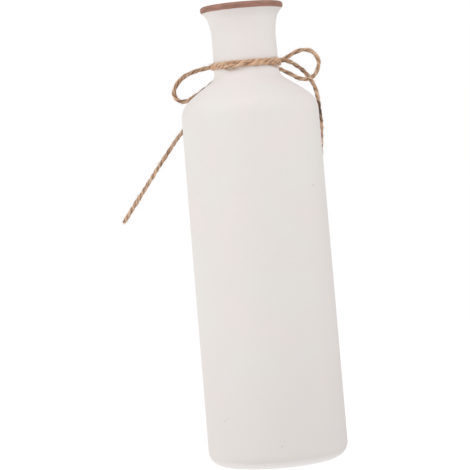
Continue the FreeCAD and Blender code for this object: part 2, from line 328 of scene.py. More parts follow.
def end_tree(tree, geometry, material):
    """Closes a tree: real geometry, in its material."""
    real = add(tree, "GeometryNodeRealizeInstances", {"Geometry": geometry})
    done = add(tree, "GeometryNodeSetMaterial", {"Geometry": real, "Material": material})
    feed(tree, tree.nodes.new("NodeGroupOutput"), {"Geometry": done})


def make_piece(source, name, tree, values):
    """Runs a tree on an object and keeps the result as a plain mesh under the piece's name."""
    modifier = source.modifiers.new(tree.name, "NODES")
    modifier.node_group = tree
    for item in tree.interface.items_tree:
        if item.in_out == "INPUT" and item.name in values:
            modifier[item.identifier] = values[item.name]
    result = source.evaluated_get(bpy.context.evaluated_depsgraph_get())
    piece = bpy.data.objects.new(name, bpy.data.meshes.new_from_object(result))
    piece.data.name = name
    scene.collection.objects.link(piece)
    source.modifiers.remove(modifier)
    return piece


def stored(tree, geometry, name, value, data_type="FLOAT"):
    """Keeps a value on each point under a name."""
    feeds = {"Geometry": geometry, "Name": name, "Value": value}
    return add(tree, "GeometryNodeStoreNamedAttribute", feeds, data_type=data_type)


def recalled(tree, name, data_type="FLOAT"):
    """A value kept under a name."""
    return add(tree, "GeometryNodeInputNamedAttribute", {"Name": name}, data_type=data_type)


def noise(tree, vector, scale, detail=2.0, **settings):
    """Smooth noise round a half, over a vector in metres."""
    return add(tree, "ShaderNodeTexNoise", {"Vector": vector, "Scale": scale, "Detail": detail}, **settings)


def twist_tree():
    """Two plies twisted along a route, each with its own ridges of fibre."""
    tree, given = new_tree(
        "twisted_plies",
        {
            "Ply Radius": "Float",
            "Ply Offset": "Float",
            "Lay Length": "Float",
            "Lay Unevenness": "Float",
            "Slub Place": "Float",
            "Slub Length": "Float",
            "Slub Swell": "Float",
            "Flattening": "Float",
            "Paleness And Painted Shade": "Float",
            "Greyness": "Float",
            "Streakiness": "Float",
            "Seed": "Float",
            "Material": "Material",
        },
    )
    line = tree.nodes.new("GeometryNodeResampleCurve")
    line.mode = "LENGTH"
    feed(tree, line, {"Curve": given["Geometry"], "Length": RING_STEP})
    line = line.outputs[0]
    spline = tree.nodes.new("GeometryNodeSplineParameter").outputs
    line = stored(tree, line, "along", spline["Length"])
    line = stored(tree, line, "core", add(tree, "GeometryNodeInputPosition"), "FLOAT_VECTOR")
    line = stored(tree, line, "heading", add(tree, "GeometryNodeInputTangent"), "FLOAT_VECTOR")
    doubled = tree.nodes.new("GeometryNodeDuplicateElements")
    doubled.domain = "SPLINE"
    feed(tree, doubled, {"Geometry": line, "Amount": PLIES})
    line = stored(tree, doubled.outputs["Geometry"], "ply", doubled.outputs["Duplicate Index"])

    along = recalled(tree, "along")
    ply = recalled(tree, "ply")
    seed = given["Seed"]
    drift = add(tree, "ShaderNodeCombineXYZ", {"X": along, "Y": seed})
    unevenness = sum_of(tree, "SUBTRACT", noise(tree, drift, LAY_DRIFT_SCALE), 0.5)
    angle = sum_of(tree, "DIVIDE", along, given["Lay Length"])
    angle = sum_of(tree, "MULTIPLY_ADD", unevenness, given["Lay Unevenness"], angle)
    angle = sum_of(tree, "MULTIPLY_ADD", ply, 1 / PLIES, angle)
    angle = sum_of(tree, "MULTIPLY", angle, -2 * math.pi)
    normal = add(tree, "GeometryNodeInputNormal")
    side = vector_sum(tree, "CROSS_PRODUCT", add(tree, "GeometryNodeInputTangent"), normal)
    out = vector_sum(
        tree,
        "ADD",
        scaled(tree, normal, sum_of(tree, "COSINE", angle)),
        scaled(tree, side, sum_of(tree, "SINE", angle)),
    )
    plies = moved(tree, line, scaled(tree, out, given["Ply Offset"]))

    lane = sum_of(tree, "MULTIPLY_ADD", ply, PLY_LANE, seed)
    drift = add(tree, "ShaderNodeCombineXYZ", {"X": along, "Y": lane})
    swell = sum_of(tree, "SUBTRACT", noise(tree, drift, SWELL_SCALE, 3.0), 0.5)
    swell = sum_of(tree, "MULTIPLY_ADD", swell, SWELL_SHARE, 1.0)
    from_slub = sum_of(tree, "SUBTRACT", along, given["Slub Place"])
    from_slub = sum_of(tree, "DIVIDE", from_slub, given["Slub Length"])
    fall = sum_of(tree, "MULTIPLY", from_slub, sum_of(tree, "MULTIPLY", from_slub, -1.0))
    slub = sum_of(tree, "MULTIPLY", sum_of(tree, "EXPONENT", fall), given["Slub Swell"])
    swell = sum_of(tree, "ADD", swell, slub)
    ring = add(tree, "GeometryNodeCurvePrimitiveCircle", {"Resolution": RING_SIDES, "Radius": 1.0})
    around = tree.nodes.new("GeometryNodeSplineParameter").outputs["Factor"]
    ring = stored(tree, ring, "around", sum_of(tree, "MULTIPLY", around, 2 * math.pi))
    turn = recalled(tree, "around")
    ring = stored(tree, ring, "ring_x", sum_of(tree, "COSINE", turn))
    ring = stored(tree, ring, "ring_y", sum_of(tree, "SINE", turn))
    mesh = add(
        tree,
        "GeometryNodeCurveToMesh",
        {
            "Curve": plies,
            "Profile Curve": ring,
            "Scale": sum_of(tree, "MULTIPLY", swell, given["Ply Radius"]),
            "Fill Caps": True,
        },
    )

    # The fibres run along the twine, so round a ply they turn back against its twist
    turn_back = sum_of(tree, "DIVIDE", along, given["Lay Length"])
    turn_back = sum_of(tree, "MULTIPLY", turn_back, 2 * math.pi)
    cosine = sum_of(tree, "COSINE", turn_back)
    sine = sum_of(tree, "SINE", turn_back)
    ring_x = recalled(tree, "ring_x")
    ring_y = recalled(tree, "ring_y")
    grain_x = sum_of(
        tree,
        "SUBTRACT",
        sum_of(tree, "MULTIPLY", ring_x, cosine),
        sum_of(tree, "MULTIPLY", ring_y, sine),
    )
    grain_y = sum_of(
        tree,
        "ADD",
        sum_of(tree, "MULTIPLY", ring_x, sine),
        sum_of(tree, "MULTIPLY", ring_y, cosine),
    )
    start = sum_of(tree, "MULTIPLY", lane, GRAIN_PER_LANE)
    length = sum_of(tree, "MULTIPLY_ADD", along, GRAIN_PER_METRE, start)
    grain = add(tree, "ShaderNodeCombineXYZ", {"X": length, "Y": grain_x, "Z": grain_y})
    mesh = stored(tree, mesh, "grain", grain, "FLOAT_VECTOR")
    ridge = noise(tree, recalled(tree, "grain", "FLOAT_VECTOR"), RIDGE_SCALE, 3.0)
    ridge = sum_of(tree, "SUBTRACT", ridge, 0.5)
    ridge = sum_of(tree, "MULTIPLY", ridge, sum_of(tree, "MULTIPLY", given["Ply Radius"], RIDGE_SHARE))
    mesh = moved(tree, mesh, scaled(tree, add(tree, "GeometryNodeInputNormal"), ridge))
    core = recalled(tree, "core", "FLOAT_VECTOR")
    off_core = vector_sum(tree, "SUBTRACT", add(tree, "GeometryNodeInputPosition"), core)
    depth = add(tree, "ShaderNodeVectorMath", {0: off_core}, operation="LENGTH")
    # How far each point lies from the ply's core, by which the colour paints shade into the grooves
    mesh = stored(tree, mesh, "reach", sum_of(tree, "DIVIDE", depth, given["Ply Radius"]))
    # A thin place is drawn darker: painted shade, where the strand lies in shadow
    thinness = sum_of(tree, "MINIMUM", slub, 0.0)
    paleness_and_painted_shade = sum_of(tree, "MULTIPLY_ADD", thinness, THIN_PLACE_PAINTED_SHADE, given["Paleness And Painted Shade"])
    mesh = stored(tree, mesh, "paleness_and_painted_shade", paleness_and_painted_shade)
    mesh = stored(tree, mesh, "greyness", given["Greyness"])
    mesh = stored(tree, mesh, "streakiness", given["Streakiness"])

    # Pulled tight round the neck, the twine is squeezed flat towards the vase's axis
    outward = vector_sum(tree, "MULTIPLY", core, (1, 1, 0))
    outward = add(tree, "ShaderNodeVectorMath", {0: outward}, operation="NORMALIZE")
    pressed = add(tree, "ShaderNodeVectorMath", {0: off_core, 1: outward}, operation="DOT_PRODUCT")
    pressed = sum_of(tree, "MULTIPLY", pressed, sum_of(tree, "MULTIPLY", given["Flattening"], -1.0))
    end_tree(tree, moved(tree, mesh, scaled(tree, outward, pressed)), given["Material"])
    return tree


# The twine's colours: streaks along the grain round a middle tone, painted shade in the grooves and a faint
# painted highlight on the crests, and rustier or greyer with age
STREAK_SCALE = 2.8
STREAK_SHARE = 0.6
PATCH_SCALE = 1.6
MIDDLE_TONE = 0.8
DARK_TONE = 0.63
TAN_TONE = 0.76
PALE_TONE = 0.92
GROOVE_FROM_AXIS = 0.92
CREST_FROM_AXIS = 1.2
PAINTED_GROOVE_SHADE = 0.5
PAINTED_CREST_HIGHLIGHT = 1.04
AGEING_SCALE = 0.7
RUSTY_TO_GREYED = (0.35, 0.65)
FINE_GRAIN_SCALE = 9.0
FINE_GRAIN_HEIGHT = 0.08 * MM
FINE_GRAIN_STRENGTH = 0.5
LOOSE_TONE_SCALE = 300.0
LOOSE_DARK_TONE = 0.35
LOOSE_PALE_TONE = 0.65


def jute_material():
    """Coarse straw fibre: streaks of pale and tan along the lay, painted shade where the plies meet and a
    faint painted highlight on the crests.
    """
    material = bpy.data.materials.new("jute")
    material.use_nodes = True
    tree = material.node_tree
    shader = tree.nodes["Principled BSDF"]

    def kept(name, output):
        node = tree.nodes.new("ShaderNodeAttribute")
        node.attribute_name = name
        return node.outputs[output]

    grain = kept("grain", "Vector")
    reach = kept("reach", "Fac")
    streak = noise(tree, grain, STREAK_SCALE, 4.0)
    patch = noise(tree, grain, PATCH_SCALE)
    tone = sum_of(tree, "MULTIPLY_ADD", streak, STREAK_SHARE, patch)
    tone = sum_of(tree, "SUBTRACT", tone, MIDDLE_TONE)
    tone = sum_of(tree, "MULTIPLY_ADD", tone, kept("streakiness", "Fac"), MIDDLE_TONE)
    # Each stretch's paleness, with painted shade on the tails and at the thin places, shifts the tone
    tone = sum_of(tree, "ADD", tone, kept("paleness_and_painted_shade", "Fac"))
    ramp = tree.nodes.new("ShaderNodeValToRGB")
    feed(tree, ramp, {"Fac": tone})
    stops = ramp.color_ramp.elements
    stops[0].position = DARK_TONE
    stops[0].color = STRAW_DARK
    stops[1].position = PALE_TONE
    stops[1].color = STRAW_PALE
    stops.new(TAN_TONE).color = STRAW_TAN
    # Painted shade: darker towards the ply's core, in the grooves, with a faint painted highlight on the
    # crests
    painted_groove_shade = mapped(tree, reach, GROOVE_FROM_AXIS, CREST_FROM_AXIS, PAINTED_GROOVE_SHADE, PAINTED_CREST_HIGHLIGHT)
    colour = mixed(tree, 1.0, ramp.outputs["Color"], painted_groove_shade, "MULTIPLY")
    aged = sum_of(tree, "ADD", noise(tree, grain, AGEING_SCALE), kept("greyness", "Fac"))
    tint = mixed(tree, mapped(tree, aged, *RUSTY_TO_GREYED), STRAW_RUSTY, STRAW_GREYED)
    colour = mixed(tree, 1.0, colour, tint, "MULTIPLY")
    fine = noise(tree, grain, FINE_GRAIN_SCALE, 3.0)
    bump = {"Height": fine, "Strength": FINE_GRAIN_STRENGTH, "Distance": FINE_GRAIN_HEIGHT}
    bump = add(tree, "ShaderNodeBump", bump)
    feed(
        tree,
        shader,
        {"Base Color": colour, "Roughness": 0.85, "Specular IOR Level": 0.25, "Normal": bump},
    )
    return material


def loose_fibre_material():
    """Single fibres that stand off the twine, paler because light comes through them."""
    material = bpy.data.materials.new("loose_fibre")
    material.use_nodes = True
    tree = material.node_tree
    tone = noise(tree, tree.nodes.new("ShaderNodeTexCoord").outputs["Object"], LOOSE_TONE_SCALE)
    ramp = tree.nodes.new("ShaderNodeValToRGB")
    feed(tree, ramp, {"Fac": tone})
    stops = ramp.color_ramp.elements
    stops[0].position = LOOSE_DARK_TONE
    stops[0].color = STRAW_TAN
    stops[1].position = LOOSE_PALE_TONE
    stops[1].color = STRAW_LIT_THROUGH
    feed(
        tree,
        tree.nodes["Principled BSDF"],
        {"Base Color": ramp.outputs["Color"], "Roughness": 0.7, "Specular IOR Level": 0.3},
    )
    return material


# A stray fibre is an arc about one unit long that begins just under the ply's surface. It is turned along
# the lay or against it, then scaled and bent by noise.
FIBRE_ARC = {
    "Resolution": 7,
    "Start": (-0.25, 0, -0.12),
    "Middle": (0.45, 0.12, 0.12),
    "End": (1, -0.1, 0.42),
}
FIBRE_SIDES = 3
ALONG_LAY_SHARE = 0.6
FIBRE_SPIN = 0.7
FIBRE_LEAN_DOWN = -0.45
FIBRE_LEAN_UP = 0.2
SHORTEST_FIBRE_SHARE = 0.35
SHORT_FIBRE_POWER = 1.6
FIBRE_BEND_SCALE = 450.0
FIBRE_BEND = 1.3 * MM
FIBRE_TAPER = 0.7


def fibre_tree():
    """Single fibres that leave the plies at a low angle and curl away."""
    tree, given = new_tree(
        "stray_fibres",
        {
            "Density": "Float",
            "Fibre Length": "Float",
            "Fibre Radius": "Float",
            "Seed": "Int",
            "Material": "Material",
        },
    )
    scatter = tree.nodes.new("GeometryNodeDistributePointsOnFaces")
    feed(
        tree,
        scatter,
        {"Mesh": given["Geometry"], "Density": given["Density"], "Seed": given["Seed"]},
    )
    facing = add(
        tree,
        "FunctionNodeAxesToRotation",
        {
            "Primary Axis": scatter.outputs["Normal"],
            "Secondary Axis": recalled(tree, "heading", "FLOAT_VECTOR"),
        },
        primary_axis="Z",
        secondary_axis="X",
    )

    def chance(low, high, salt):
        seed = sum_of(tree, "ADD", given["Seed"], salt)
        node = tree.nodes.new("FunctionNodeRandomValue")
        feed(tree, node, {2: low, 3: high, "Seed": seed})
        return node.outputs[1]

    flip = sum_of(tree, "GREATER_THAN", chance(0.0, 1.0, 3), ALONG_LAY_SHARE)
    spin = sum_of(tree, "MULTIPLY_ADD", flip, math.pi, chance(-FIBRE_SPIN, FIBRE_SPIN, 5))
    lean = chance(FIBRE_LEAN_DOWN, FIBRE_LEAN_UP, 7)
    turned = add(tree, "ShaderNodeCombineXYZ", {"Y": lean, "Z": spin})
    turned = add(tree, "FunctionNodeEulerToRotation", {"Euler": turned})
    facing = add(
        tree,
        "FunctionNodeRotateRotation",
        {"Rotation": facing, "Rotate By": turned},
        rotation_space="LOCAL",
    )
    hair = add(tree, "GeometryNodeCurveQuadraticBezier", FIBRE_ARC)
    size = sum_of(tree, "POWER", chance(SHORTEST_FIBRE_SHARE, 1.0, 11), SHORT_FIBRE_POWER)
    size = sum_of(tree, "MULTIPLY", size, given["Fibre Length"])
    hairs = add(
        tree,
        "GeometryNodeInstanceOnPoints",
        {
            "Points": scatter.outputs["Points"],
            "Instance": hair,
            "Rotation": facing,
            "Scale": add(tree, "ShaderNodeCombineXYZ", {"X": size, "Y": size, "Z": size}),
        },
    )
    hairs = add(tree, "GeometryNodeRealizeInstances", {"Geometry": hairs})
    position = add(tree, "GeometryNodeInputPosition")
    bend = tree.nodes.new("ShaderNodeTexNoise")
    feed(tree, bend, {"Vector": position, "Scale": FIBRE_BEND_SCALE, "Detail": 1.0})
    bend = vector_sum(tree, "SUBTRACT", bend.outputs["Color"], (0.5, 0.5, 0.5))
    share = tree.nodes.new("GeometryNodeSplineParameter").outputs["Factor"]
    hairs = moved(tree, hairs, scaled(tree, bend, sum_of(tree, "MULTIPLY", share, FIBRE_BEND)))
    taper = sum_of(tree, "MULTIPLY_ADD", share, -FIBRE_TAPER, 1.0)
    ring = add(tree, "GeometryNodeCurvePrimitiveCircle", {"Resolution": FIBRE_SIDES, "Radius": 1.0})
    mesh = add(
        tree,
        "GeometryNodeCurveToMesh",
        {
            "Curve": hairs,
            "Profile Curve": ring,
            "Scale": sum_of(tree, "MULTIPLY", taper, given["Fibre Radius"]),
            "Fill Caps": True,
        },
    )
    end_tree(tree, mesh, given["Material"])
    return tree


# How each stretch is spun. A slub is a thick place in the yarn, or with a negative swell a thin one, and
# each is (how far along, half its length, swell).
JUTE = jute_material()
LOOSE_FIBRE = loose_fibre_material()
TWISTED_PLIES = twist_tree()
STRAY_FIBRES = fibre_tree()
FIBRE_DENSITY = 0.42 / MM**2
FIBRE_LENGTH = 3.4 * MM
FIBRE_RADIUS = 0.045 * MM
NO_SLUB = (0, 1 * MM, 0)
# The thin places on the left loop and the right tail are thinner and also carry painted shade, where those
# strands lie in shadow
SLUBS = {
    "bow_loop_left": (71 * MM, 6 * MM, -0.24),
    "tail_left": (105.5 * MM, 3.2 * MM, 0.3),
    "tail_right": (61.5 * MM, 4.2 * MM, -0.36),
}
LAY_UNEVENNESS = 0.5
WINDING_UNEVENNESS = 1.6
WINDING_FLATTENING = 0.3
# Against the usual twine, the taut winding is drawn thin, the loops have opened and lost some of their
# twist, and the knot and the tails are twisted a little harder
GIRTHS = {"neck_wrap": 0.92, "bow_loop_left": 1.05, "bow_loop_right": 1.03, "tail_left": 0.97}
LAYS = {"bow_knot": 0.9, "bow_loop_left": 1.3, "bow_loop_right": 1.35, "tail_left": 0.9, "tail_right": 0.9}
# The yarn is a little paler, greyer or more streaked in some stretches than in others, and the tails are
# drawn darker as painted shade
PALENESS_AND_PAINTED_SHADE = {
    "neck_wrap": 0.015,
    "bow_loop_left": -0.02,
    "bow_loop_right": 0.02,
    "tail_left": -0.02,
    "tail_right": -0.02,
}
GREYNESS = {"neck_wrap": -0.03, "bow_loop_right": 0.06, "tail_left": 0.17, "tail_right": 0.1}
STREAKINESS = {"bow_loop_left": 1.1, "tail_left": 0.75, "tail_right": 1.15}


def spin_twine(name, seed):
    """One stretch of twine along its route, and the fibres that stand off it."""
    route = lay_lines(f"{name}_route", [ROUTES[name]], ROUTE_RESOLUTION)
    path_mesh = bpy.data.meshes.new_from_object(route)
    path = [tuple(vertex.co) for vertex in path_mesh.vertices]
    place, length, swell = SLUBS.get(name, NO_SLUB)
    twine = make_piece(
        route,
        f"{name}_twine",
        TWISTED_PLIES,
        {
            "Ply Radius": PLY_RADIUS * GIRTHS.get(name, 1.0),
            "Ply Offset": PLY_OFFSET,
            "Lay Length": LAY_LENGTH * LAYS.get(name, 1.0),
            "Lay Unevenness": WINDING_UNEVENNESS if name == "neck_wrap" else LAY_UNEVENNESS,
            "Slub Place": place,
            "Slub Length": length,
            "Slub Swell": swell,
            "Flattening": WINDING_FLATTENING if name == "neck_wrap" else 0.0,
            "Paleness And Painted Shade": PALENESS_AND_PAINTED_SHADE.get(name, 0.0),
            "Greyness": GREYNESS.get(name, 0.0),
            "Streakiness": STREAKINESS.get(name, 1.0),
            "Seed": float(seed),
            "Material": JUTE,
        },
    )
    fibres = make_piece(
        twine,
        f"{name}_fibres",
        STRAY_FIBRES,
        {
            "Density": FIBRE_DENSITY,
            "Fibre Length": FIBRE_LENGTH,
            "Fibre Radius": FIBRE_RADIUS,
            "Seed": seed,
            "Material": LOOSE_FIBRE,
        },
    )
    bpy.data.objects.remove(route)
    for piece in (twine, fibres):
        piece.data.shade_smooth()
        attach(piece, "twine")
    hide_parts(name)
    return twine, fibres, path


# Where the twine is frayed: wisps hang out of the winding in front, and the two cut ends have opened a
# little. Each guide is the middle of a tuft of single fibres, and those at the winding are in
# millimetres in the vase's frame.
WISPS = [
    [(-15.6, -11.2, 225.4), (-12.3, -14.8, 223.5), (-8.4, -17.3, 222.5), (-4, -18.8, 222.2)],
    [(-13.4, -13.8, 224.8), (-10.6, -16, 222.9), (-7.4, -17.7, 221.8), (-4.6, -18.7, 221.3)],
    [(-10, -16.8, 224.6), (-6.7, -18.3, 223), (-3.3, -19.2, 222.7), (0, -19.5, 223)],
    [(11.3, -15.6, 224.5), (14.7, -12.5, 223.6), (18.1, -6.7, 222.9), (19.2, -3.5, 222.4)],
    [(13.6, -13.4, 224.3), (16.4, -9.8, 223.2), (18.7, -4, 222.6)],
    [(-16.4, -10.2, 226.4), (-18.9, -5.2, 226), (-19.9, -1.5, 225.3)],
    [(14.5, -13.2, 227.6), (18, -8, 228.1), (19.7, -3.2, 228.8)],
]
GUIDE_RESOLUTION = 12
WISP_FIBRES = 9
WISP_SPREAD = 0.75 * MM
WISP_RADIUS = 0.05 * MM
CUT_END_FIBRES = 44
CUT_END_SPREAD = 1.05 * MM
CUT_END_REACH = 1.3 * MM
CUT_END_ROOT = 1.2 * CUT_END_REACH
TUFT_POINTS = 9
TUFT_ROOT_SHARE = 0.25
TUFT_BEND_SCALE = 380.0
TUFT_BEND = 2.2
TUFT_SHORTEST_SHARE = 0.55
TUFT_TAPER = 0.6


def tuft_tree():
    """Single fibres that start together on a guide line and open towards its far end."""
    tree, given = new_tree(
        "opened_tufts",
        {
            "Fibres": "Int",
            "Spread": "Float",
            "Fibre Radius": "Float",
            "Seed": "Int",
            "Material": "Material",
        },
    )
    line = tree.nodes.new("GeometryNodeResampleCurve")
    line.mode = "COUNT"
    feed(tree, line, {"Curve": given["Geometry"], "Count": TUFT_POINTS})
    tuft = tree.nodes.new("GeometryNodeDuplicateElements")
    tuft.domain = "SPLINE"
    feed(tree, tuft, {"Geometry": line.outputs[0], "Amount": given["Fibres"]})
    index = add(tree, "GeometryNodeInputIndex")
    number = {"Geometry": tuft.outputs["Geometry"], "Name": "fibre", "Value": index}
    hairs = add(tree, "GeometryNodeStoreNamedAttribute", number, data_type="FLOAT", domain="CURVE")
    fibre = recalled(tree, "fibre")
    aside = tree.nodes.new("FunctionNodeRandomValue")
    aside.data_type = "FLOAT_VECTOR"
    feed(tree, aside, {0: (-1, -1, -1), 1: (1, 1, 1), "ID": fibre, "Seed": given["Seed"]})
    share = tree.nodes.new("GeometryNodeSplineParameter").outputs["Factor"]
    opening = sum_of(tree, "MULTIPLY_ADD", share, 1 - TUFT_ROOT_SHARE, TUFT_ROOT_SHARE)
    opening = sum_of(tree, "MULTIPLY", opening, given["Spread"])
    bend = tree.nodes.new("ShaderNodeTexNoise")
    from_fibre = vector_sum(tree, "ADD", add(tree, "GeometryNodeInputPosition"), aside.outputs[0])
    feed(tree, bend, {"Vector": from_fibre, "Scale": TUFT_BEND_SCALE, "Detail": 1.0})
    bend = vector_sum(tree, "SUBTRACT", bend.outputs["Color"], (0.5, 0.5, 0.5))
    away = vector_sum(tree, "ADD", aside.outputs[0], scaled(tree, bend, TUFT_BEND))
    hairs = moved(tree, hairs, scaled(tree, away, opening))
    reach = tree.nodes.new("FunctionNodeRandomValue")
    feed(tree, reach, {2: TUFT_SHORTEST_SHARE, 3: 1.0, "ID": fibre, "Seed": given["Seed"]})
    hairs = add(tree, "GeometryNodeTrimCurve", {0: hairs, 3: reach.outputs[1]})
    share = tree.nodes.new("GeometryNodeSplineParameter").outputs["Factor"]
    taper = sum_of(tree, "MULTIPLY_ADD", share, -TUFT_TAPER, 1.0)
    ring = add(tree, "GeometryNodeCurvePrimitiveCircle", {"Resolution": FIBRE_SIDES, "Radius": 1.0})
    mesh = add(
        tree,
        "GeometryNodeCurveToMesh",
        {
            "Curve": hairs,
            "Profile Curve": ring,
            "Scale": sum_of(tree, "MULTIPLY", taper, given["Fibre Radius"]),
            "Fill Caps": True,
        },
    )
    end_tree(tree, mesh, given["Material"])
    return tree


def cut_end(name):
    """The guide of the tuft at a tail's cut end."""
    before, end = ROUTES[name][-2:]
    ahead = (end - before).normalized()
    return [end - CUT_END_ROOT * ahead, end, end + CUT_END_REACH * ahead]


OPENED_TUFTS = tuft_tree()
FRAYED = {
    "neck_wrap": ([[Vector(point) * MM for point in wisp] for wisp in WISPS], WISP_FIBRES, WISP_SPREAD),
    "tail_left": ([cut_end("tail_left")], CUT_END_FIBRES, CUT_END_SPREAD),
    "tail_right": ([cut_end("tail_right")], CUT_END_FIBRES, CUT_END_SPREAD),
}


def fray(name, seed):
    """The frayed places of one stretch, as one piece, or none."""
    if name not in FRAYED:
        return []
    guides, fibres, spread = FRAYED[name]
    guide = lay_lines(f"{name}_guides", guides, GUIDE_RESOLUTION)
    frayed = make_piece(
        guide,
        f"{name}_frayed",
        OPENED_TUFTS,
        {
            "Fibres": fibres,
            "Spread": spread,
            "Fibre Radius": WISP_RADIUS,
            "Seed": seed,
            "Material": LOOSE_FIBRE,
        },
    )
    bpy.data.objects.remove(guide)
    frayed.data.shade_smooth()
    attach(frayed, "twine")
    return [frayed]


knot, knot_fibres, _ = spin_twine("bow_knot", 1)
# Each stretch's real length in metres, what its far end is, and how it lies
STRETCHES = {
    "neck_wrap": (0.248, "knot", "taut"),
    "bow_loop_left": (0.096, "knot", "loose"),
    "bow_loop_right": (0.095, "knot", "loose"),
    "tail_left": (0.12, "bare", "hanging"),
    "tail_right": (0.118, "bare", "hanging"),
}
for seed, (name, (length, far_end, lay)) in enumerate(STRETCHES.items(), start=2):
    twine, fibres, path = spin_twine(name, seed)
    on_it = [fibres, *fray(name, seed)]
    if name == "neck_wrap":
        on_it += [knot, knot_fibres]

# The vase itself: one slip-cast pot, cast hollow in a plaster mould, its seams sponged away before firing.
# The clay is left bare and chalky outside, it stands on a narrow ring, and the mouth is edged with brown
# oxide. Its outline's corners are (across, up, round) in millimetres, and it is turned about the axis.
VASE_OUTSIDE = [
    (0, 1.2, 0),
    (26, 1.2, 0.6),
    (27.2, 0, 0.6),
    (39.8, 0, 8.5),
    (38.95, 203.7, 13),
    (30.1, 210.9, 30),
    (18.5, 218.9, 5.8),
    (18.05, 245.5, 40),
    (20.1, 253.9, 8.5),
    (23.45, 257, 2),
    (23.45, 260, 1.7),
]
VASE_INSIDE = [
    (21.15, 260, 1.2),
    (17.16, 256.05, 12.3),
    (14.75, 245.5, 47.3),
    (15.2, 217.15, 9.1),
    (28.12, 208.26, 26.7),
    (35.65, 202.12, 9.7),
    (36.5, 5.4, 5.2),
    (0, 5.4, 0),
]
HEIGHT = 260 * MM
AXLE = 10 * MM
VASE_SIDES = 144
ROUND_STEPS = 10
RUN_STEP = 3.2 * MM
HAND_WAVER = 0.16 * MM
HAND_WAVER_SCALE = 14.0
CORNER_MERGE = 0.01 * MM
LIP_HEIGHT = 3.5 * MM
CLAY_WARM = (0.81, 0.755, 0.733, 1)
CLAY_COOL = (0.795, 0.762, 0.731, 1)
CLAY_SPECK = (0.33, 0.31, 0.28, 1)
# The clay is a little darker and pinker towards the foot and, less so, on the neck, each as (height where
# it begins, height where it is full, share). The foot's lowest edge is painted paler: painted light,
# standing for light bounced up from the floor.
CLAY_PINK = (0.776, 0.728, 0.705, 1)
PINK_SHARES = {
    "foot": (75 * MM, 15 * MM, 0.85),
    "neck": (212 * MM, 224 * MM, 0.6),
}
CLAY_PAINTED_BOUNCE_LIGHT = (0.93, 0.9, 0.885, 1)
PAINTED_BOUNCE_LIGHT_HEIGHT = 5 * MM
LIP_BROWN = (0.39, 0.195, 0.147, 1)
LIP_DARK = (0.25, 0.14, 0.103, 1)
# Clouds and dust in the clay, and the fine tooth of its surface
CLOUD_SCALE = 34.0
WARM_TO_COOL = (0.38, 0.62)
DUST_SCALE = 900.0
DARK_TO_PALE_DUST = (0.3, 0.7)
DUST_DARK = 0.988
DUST_PALE = 1.01
TOOTH_SCALE = 2500.0
TOOTH_HEIGHT = 0.05 * MM
TOOTH_STRENGTH = 0.17
# The oxide's lower edge, where it ends on the way in across the lip, and its brush marks, which run round
# the mouth
EDGE_WANDER_SCALE = 120.0
EDGE_WANDER = 0.4 * MM
EDGE_SOFTNESS = 0.15 * MM
INNER_EDGE = (0.9, 0.98)
BRUSH_MARKS = (130.0, 130.0, 700.0)
BROWN_TO_DARK = (0.38, 0.66)
# Pinholes and iron specks in the clay, all on its front, each (place, radius) in millimetres
SPECK_CORE_SHARE = 0.5
SPECK_DARKNESS = 0.42
SPECKS = [
    ((-28.1, -28, 28.3), 0.6),
    ((2.3, -39.7, 13.1), 0.52),
    ((31.7, -23, 155), 0.68),
    ((1.8, -39.7, 16.1), 0.3),
    ((3.8, -39.55, 15.8), 0.3),
    ((-25.6, -30.3, 30.1), 0.36),
]


def turned_tree():
    """An outline with its corners rounded, turned about the vase's axis and left a little uneven."""
    tree, given = new_tree(
        "turned_clay",
        {
            "Outside Corners": "Float",
            "Axle": "Float",
            "Sides": "Int",
            "Round Steps": "Int",
            "Run Step": "Float",
            "Waver": "Float",
            "Material": "Material",
        },
    )
    index = add(tree, "GeometryNodeInputIndex")
    past_lip = sum_of(tree, "GREATER_THAN", index, sum_of(tree, "SUBTRACT", given["Outside Corners"], 0.5))
    line = stored(tree, given["Geometry"], "inside", past_lip)
    rounded = tree.nodes.new("GeometryNodeFilletCurve")
    rounded.mode = "POLY"
    feed(
        tree,
        rounded,
        {
            "Curve": line,
            "Count": given["Round Steps"],
            "Radius": add(tree, "GeometryNodeInputRadius"),
            "Limit Radius": False,
        },
    )
    here = add(tree, "GeometryNodeInputPosition")
    next_one = sum_of(tree, "ADD", add(tree, "GeometryNodeInputIndex"), 1.0)
    there = add(
        tree,
        "GeometryNodeFieldAtIndex",
        {"Index": next_one, "Value": here},
        data_type="FLOAT_VECTOR",
        domain="POINT",
    )
    run = vector_sum(tree, "SUBTRACT", there, here)
    run = add(tree, "ShaderNodeVectorMath", {0: run}, operation="LENGTH")
    cuts = sum_of(tree, "FLOOR", sum_of(tree, "DIVIDE", run, given["Run Step"]))
    line = add(tree, "GeometryNodeSubdivideCurve", {"Curve": rounded.outputs[0], "Cuts": cuts})
    rail = add(
        tree,
        "GeometryNodeCurvePrimitiveCircle",
        {"Resolution": given["Sides"], "Radius": given["Axle"]},
    )
    mesh = add(tree, "GeometryNodeCurveToMesh", {"Curve": rail, "Profile Curve": line})
    mesh = add(tree, "GeometryNodeFlipFaces", {"Mesh": mesh})
    mesh = add(tree, "GeometryNodeMergeByDistance", {"Geometry": mesh, "Distance": CORNER_MERGE})
    place = add(tree, "GeometryNodeInputPosition")
    uneven = sum_of(tree, "SUBTRACT", noise(tree, place, HAND_WAVER_SCALE, 1.0), 0.5)
    outward = vector_sum(tree, "MULTIPLY", place, (1, 1, 0))
    outward = add(tree, "ShaderNodeVectorMath", {0: outward}, operation="NORMALIZE")
    uneven = sum_of(tree, "MULTIPLY", uneven, given["Waver"])
    end_tree(tree, moved(tree, mesh, scaled(tree, outward, uneven)), given["Material"])
    return tree


